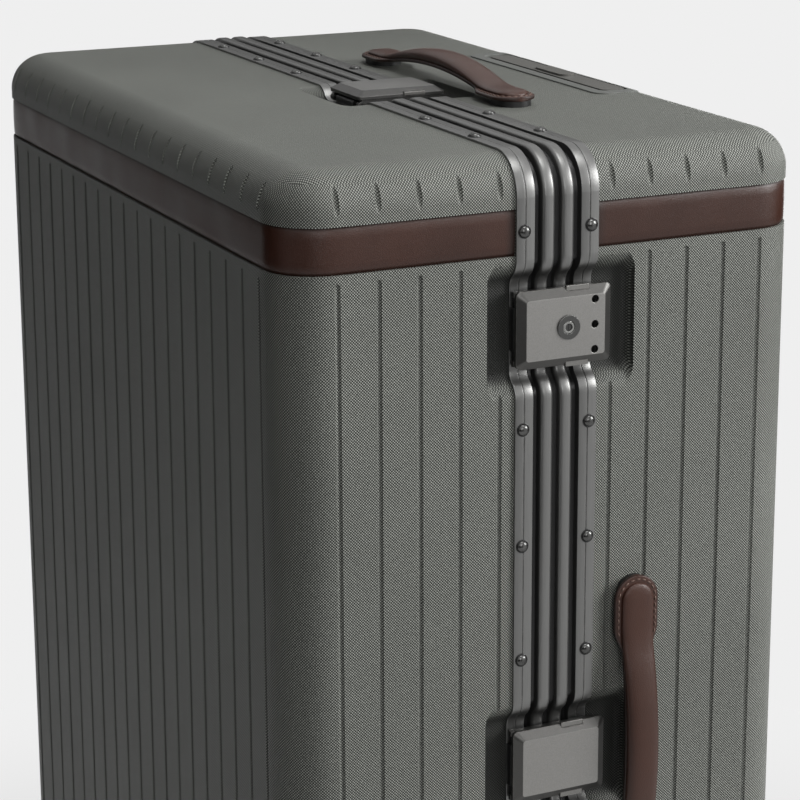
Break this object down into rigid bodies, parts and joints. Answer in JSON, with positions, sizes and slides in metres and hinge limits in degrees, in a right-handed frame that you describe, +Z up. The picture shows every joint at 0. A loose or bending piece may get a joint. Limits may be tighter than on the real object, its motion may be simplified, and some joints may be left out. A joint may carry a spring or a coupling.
{
  "type": "frame suitcase",
  "caption": "Upright hard-shell suitcase with a riveted double frame, draw latches, leather band and handles, telescopic trolley handle and spinner casters.",
  "frame": {"origin": "on the floor under the middle of the case, in the plane of the seam", "axes": "+Z up, +X from the hinge side to the latch side, +Y from the front shell to the back shell"},
  "size_m": [0.518, 0.315, 0.77],
  "materials": {
    "shell": "fine diamond grain, satin",
    "frame_metal": "gunmetal anodised, satin",
    "latch_metal": "bead-blasted, satin",
    "rivet_metal": "dark polished",
    "dark_metal": "black satin",
    "leather": "smooth dark brown with a soft sheen",
    "seal_rubber": "matt black",
    "lining_fabric": "woven charcoal lining",
    "strap_webbing": "black webbing",
    "trolley_plastic": "grey satin",
    "tube_metal": "anodised grey",
    "caster_plastic": "charcoal satin",
    "wheel_rubber": "black tread",
    "lock_steel": "turned, satin",
    "dial_black": "black, knurled rim"
  },
  "bodies": {
    "base": {"back_shell": "shell", "back_frame": "frame_metal", "back_frame_rivets": "rivet_metal", "back_leather_band": "leather", "back_lining": "lining_fabric", "frame_gasket": "seal_rubber", "trolley_bezel": "trolley_plastic", "trolley_outer_tubes": "tube_metal", "top_handle": "leather", "top_handle_feet": "dark_metal", "side_handle": "leather", "side_handle_feet": "dark_metal", "hinge_back_leaves": "frame_metal", "hinge_pins": "rivet_metal", "latch_keepers": "dark_metal", "compression_straps": "strap_webbing", "back_caster_cups": "caster_plastic"},
    "lid": {"front_shell": "shell", "front_frame": "frame_metal", "front_frame_rivets": "rivet_metal", "front_leather_band": "leather", "front_lining": "lining_fabric", "hinge_front_leaves": "frame_metal", "latch_bases": "dark_metal", "latch_pivot_pins": "rivet_metal", "front_caster_cups": "caster_plastic"},
    "top_latch": {"top_latch_lever": "latch_metal"},
    "top_tab_left": {"top_latch_tab_left": "latch_metal"},
    "top_tab_right": {"top_latch_tab_right": "latch_metal"},
    "upper_latch": {"upper_latch_lever": "latch_metal", "upper_lock_collar": "lock_steel"},
    "upper_tab_left": {"upper_latch_tab_left": "latch_metal"},
    "upper_tab_right": {"upper_latch_tab_right": "latch_metal"},
    "upper_core": {"upper_lock_core": "lock_steel"},
    "upper_dial_1": {"upper_lock_dial_1": "dial_black"},
    "upper_dial_2": {"upper_lock_dial_2": "dial_black"},
    "upper_dial_3": {"upper_lock_dial_3": "dial_black"},
    "middle_latch": {"middle_latch_lever": "latch_metal"},
    "middle_tab_left": {"middle_latch_tab_left": "latch_metal"},
    "middle_tab_right": {"middle_latch_tab_right": "latch_metal"},
    "lower_latch": {"lower_latch_lever": "latch_metal", "lower_lock_collar": "lock_steel"},
    "lower_tab_left": {"lower_latch_tab_left": "latch_metal"},
    "lower_tab_right": {"lower_latch_tab_right": "latch_metal"},
    "lower_core": {"lower_lock_core": "lock_steel"},
    "lower_dial_1": {"lower_lock_dial_1": "dial_black"},
    "lower_dial_2": {"lower_lock_dial_2": "dial_black"},
    "lower_dial_3": {"lower_lock_dial_3": "dial_black"},
    "trolley_middle": {"trolley_middle_tubes": "tube_metal"},
    "trolley_top": {"trolley_inner_tubes": "tube_metal", "trolley_grip": "trolley_plastic"},
    "trolley_release": {"trolley_button": "trolley_plastic"},
    "front_left_fork": {"front_left_caster_fork": "caster_plastic"},
    "front_left_wheels": {"front_left_caster_wheels": "wheel_rubber"},
    "front_right_fork": {"front_right_caster_fork": "caster_plastic"},
    "front_right_wheels": {"front_right_caster_wheels": "wheel_rubber"},
    "back_left_fork": {"back_left_caster_fork": "caster_plastic"},
    "back_left_wheels": {"back_left_caster_wheels": "wheel_rubber"},
    "back_right_fork": {"back_right_caster_fork": "caster_plastic"},
    "back_right_wheels": {"back_right_caster_wheels": "wheel_rubber"}
  },
  "joints": [
    {"name": "lid_hinge", "type": "hinge", "parent": "base", "child": "lid", "pos_m": [-0.2485, 0, 0.4025], "axis": [0, 0, -1], "range_deg": [0, 180]},
    {"name": "top_latch_lift", "type": "hinge", "parent": "lid", "child": "top_latch", "pos_m": [0.022, -0.0221, 0.7435], "axis": [1, 0, 0], "range_deg": [0, 95]},
    {"name": "top_tab_left_press", "type": "slide", "parent": "top_latch", "child": "top_tab_left", "axis": [1, 0, 0], "range_m": [0, 0.0022], "stiffness_N_per_m": 150, "springref_m": -0.001},
    {"name": "top_tab_right_press", "type": "slide", "parent": "top_latch", "child": "top_tab_right", "axis": [-1, 0, 0], "range_m": [0, 0.0022], "stiffness_N_per_m": 150, "springref_m": -0.001},
    {"name": "upper_latch_lift", "type": "hinge", "parent": "lid", "child": "upper_latch", "pos_m": [0.24, -0.0221, 0.653], "axis": [0, 0, -1], "range_deg": [0, 95]},
    {"name": "upper_tab_left_press", "type": "slide", "parent": "upper_latch", "child": "upper_tab_left", "axis": [0, 0, -1], "range_m": [0, 0.0022], "stiffness_N_per_m": 150, "springref_m": -0.001},
    {"name": "upper_tab_right_press", "type": "slide", "parent": "upper_latch", "child": "upper_tab_right", "axis": [0, 0, 1], "range_m": [0, 0.0022], "stiffness_N_per_m": 150, "springref_m": -0.001},
    {"name": "upper_core_turn", "type": "hinge", "parent": "upper_latch", "child": "upper_core", "pos_m": [0.2435, 0.005, 0.653], "axis": [1, 0, 0], "range_deg": [0, 90]},
    {"name": "upper_dial_1_spin", "type": "hinge", "parent": "upper_latch", "child": "upper_dial_1", "pos_m": [0.2432, 0.0233, 0.6669], "axis": [0, 0, 1], "continuous": true},
    {"name": "upper_dial_2_spin", "type": "hinge", "parent": "upper_latch", "child": "upper_dial_2", "pos_m": [0.2432, 0.0233, 0.653], "axis": [0, 0, 1], "continuous": true},
    {"name": "upper_dial_3_spin", "type": "hinge", "parent": "upper_latch", "child": "upper_dial_3", "pos_m": [0.2432, 0.0233, 0.6391], "axis": [0, 0, 1], "continuous": true},
    {"name": "middle_latch_lift", "type": "hinge", "parent": "lid", "child": "middle_latch", "pos_m": [0.24, -0.0221, 0.4025], "axis": [0, 0, -1], "range_deg": [0, 95]},
    {"name": "middle_tab_left_press", "type": "slide", "parent": "middle_latch", "child": "middle_tab_left", "axis": [0, 0, -1], "range_m": [0, 0.0022], "stiffness_N_per_m": 150, "springref_m": -0.001},
    {"name": "middle_tab_right_press", "type": "slide", "parent": "middle_latch", "child": "middle_tab_right", "axis": [0, 0, 1], "range_m": [0, 0.0022], "stiffness_N_per_m": 150, "springref_m": -0.001},
    {"name": "lower_latch_lift", "type": "hinge", "parent": "lid", "child": "lower_latch", "pos_m": [0.24, -0.0221, 0.152], "axis": [0, 0, -1], "range_deg": [0, 95]},
    {"name": "lower_tab_left_press", "type": "slide", "parent": "lower_latch", "child": "lower_tab_left", "axis": [0, 0, -1], "range_m": [0, 0.0022], "stiffness_N_per_m": 150, "springref_m": -0.001},
    {"name": "lower_tab_right_press", "type": "slide", "parent": "lower_latch", "child": "lower_tab_right", "axis": [0, 0, 1], "range_m": [0, 0.0022], "stiffness_N_per_m": 150, "springref_m": -0.001},
    {"name": "lower_core_turn", "type": "hinge", "parent": "lower_latch", "child": "lower_core", "pos_m": [0.2435, 0.005, 0.152], "axis": [1, 0, 0], "range_deg": [0, 90]},
    {"name": "lower_dial_1_spin", "type": "hinge", "parent": "lower_latch", "child": "lower_dial_1", "pos_m": [0.2432, 0.0233, 0.1659], "axis": [0, 0, 1], "continuous": true},
    {"name": "lower_dial_2_spin", "type": "hinge", "parent": "lower_latch", "child": "lower_dial_2", "pos_m": [0.2432, 0.0233, 0.152], "axis": [0, 0, 1], "continuous": true},
    {"name": "lower_dial_3_spin", "type": "hinge", "parent": "lower_latch", "child": "lower_dial_3", "pos_m": [0.2432, 0.0233, 0.1381], "axis": [0, 0, 1], "continuous": true},
    {"name": "trolley_lower_stage", "type": "slide", "parent": "base", "child": "trolley_middle", "axis": [0, 0, 1], "range_m": [0, 0.19]},
    {"name": "trolley_upper_stage", "type": "slide", "parent": "trolley_middle", "child": "trolley_top", "axis": [0, 0, 1], "range_m": [0, 0.19]},
    {"name": "trolley_button_press", "type": "slide", "parent": "trolley_top", "child": "trolley_release", "axis": [0, 0, -1], "range_m": [0, 0.003], "stiffness_N_per_m": 400, "springref_m": -0.001},
    {"name": "front_left_swivel", "type": "hinge", "parent": "lid", "child": "front_left_fork", "pos_m": [-0.1775, -0.0955, 0.05], "axis": [0, 0, 1], "continuous": true},
    {"name": "front_left_roll", "type": "hinge", "parent": "front_left_fork", "child": "front_left_wheels", "pos_m": [-0.1775, -0.0835, 0.023], "axis": [1, 0, 0], "continuous": true},
    {"name": "front_right_swivel", "type": "hinge", "parent": "lid", "child": "front_right_fork", "pos_m": [0.1775, -0.0955, 0.05], "axis": [0, 0, 1], "continuous": true},
    {"name": "front_right_roll", "type": "hinge", "parent": "front_right_fork", "child": "front_right_wheels", "pos_m": [0.1775, -0.0835, 0.023], "axis": [1, 0, 0], "continuous": true},
    {"name": "back_left_swivel", "type": "hinge", "parent": "base", "child": "back_left_fork", "pos_m": [-0.1775, 0.0955, 0.05], "axis": [0, 0, 1], "continuous": true},
    {"name": "back_left_roll", "type": "hinge", "parent": "back_left_fork", "child": "back_left_wheels", "pos_m": [-0.1775, 0.1075, 0.023], "axis": [1, 0, 0], "continuous": true},
    {"name": "back_right_swivel", "type": "hinge", "parent": "base", "child": "back_right_fork", "pos_m": [0.1775, 0.0955, 0.05], "axis": [0, 0, 1], "continuous": true},
    {"name": "back_right_roll", "type": "hinge", "parent": "back_right_fork", "child": "back_right_wheels", "pos_m": [0.1775, 0.1075, 0.023], "axis": [1, 0, 0], "continuous": true}
  ],
  "couplings": [
    {"joint": "top_tab_right_press", "follows": "top_tab_left_press", "ratio": 1},
    {"joint": "upper_tab_right_press", "follows": "upper_tab_left_press", "ratio": 1},
    {"joint": "middle_tab_right_press", "follows": "middle_tab_left_press", "ratio": 1},
    {"joint": "lower_tab_right_press", "follows": "lower_tab_left_press", "ratio": 1}
  ]
}
